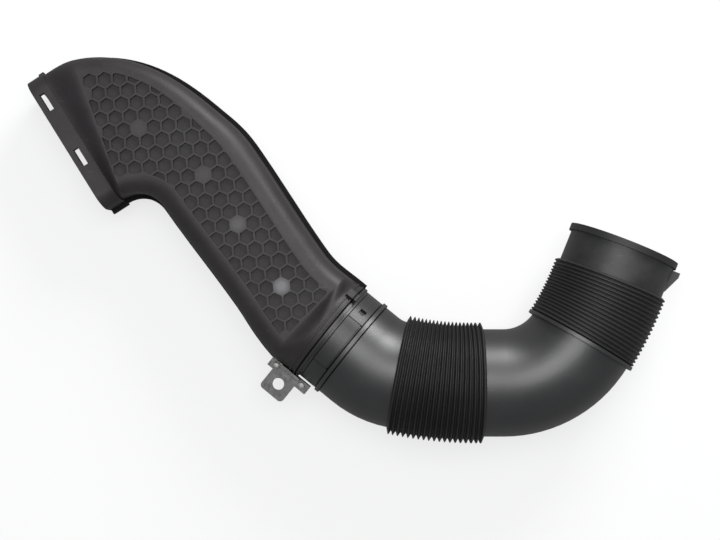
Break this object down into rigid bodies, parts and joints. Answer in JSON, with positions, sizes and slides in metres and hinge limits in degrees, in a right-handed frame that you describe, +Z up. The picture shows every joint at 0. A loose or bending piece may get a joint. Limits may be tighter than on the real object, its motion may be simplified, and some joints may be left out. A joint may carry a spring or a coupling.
{
  "type": "air intake hose",
  "caption": "Air intake hose: a flat honeycomb-ribbed inlet duct, a snap coupling, smooth plastic bends and folded bellows that end in a round cuff.",
  "frame": {"origin": "on the ground under the middle of the hose's outline, as it lies flat", "axes": "+X from the flat inlet mouth towards the outlet cuff, +Y towards the side both openings bend to, +Z up, out of the honeycomb face"},
  "size_m": [0.4636, 0.277, 0.0888],
  "materials": {
    "duct_plastic": "fine moulded grain",
    "collar_plastic": "satin moulded",
    "pipe_plastic": "smooth blow-moulded gloss",
    "bellows_rubber": "soft matte",
    "seal_rubber": "matte",
    "bracket_steel": "dull zinc",
    "rivet_steel": "dull zinc"
  },
  "bodies": {
    "root": {"duct_upper_shell": "duct_plastic", "duct_lower_shell": "duct_plastic", "coupling_collar": "collar_plastic", "coupling_seal": "seal_rubber", "front_pipe": "pipe_plastic", "front_bellows": "bellows_rubber", "elbow_pipe": "pipe_plastic", "rear_bellows": "bellows_rubber", "outlet_cuff": "pipe_plastic", "outlet_seal": "seal_rubber", "mounting_bracket": "bracket_steel", "bracket_rivets": "rivet_steel"}
  },
  "joints": []
}
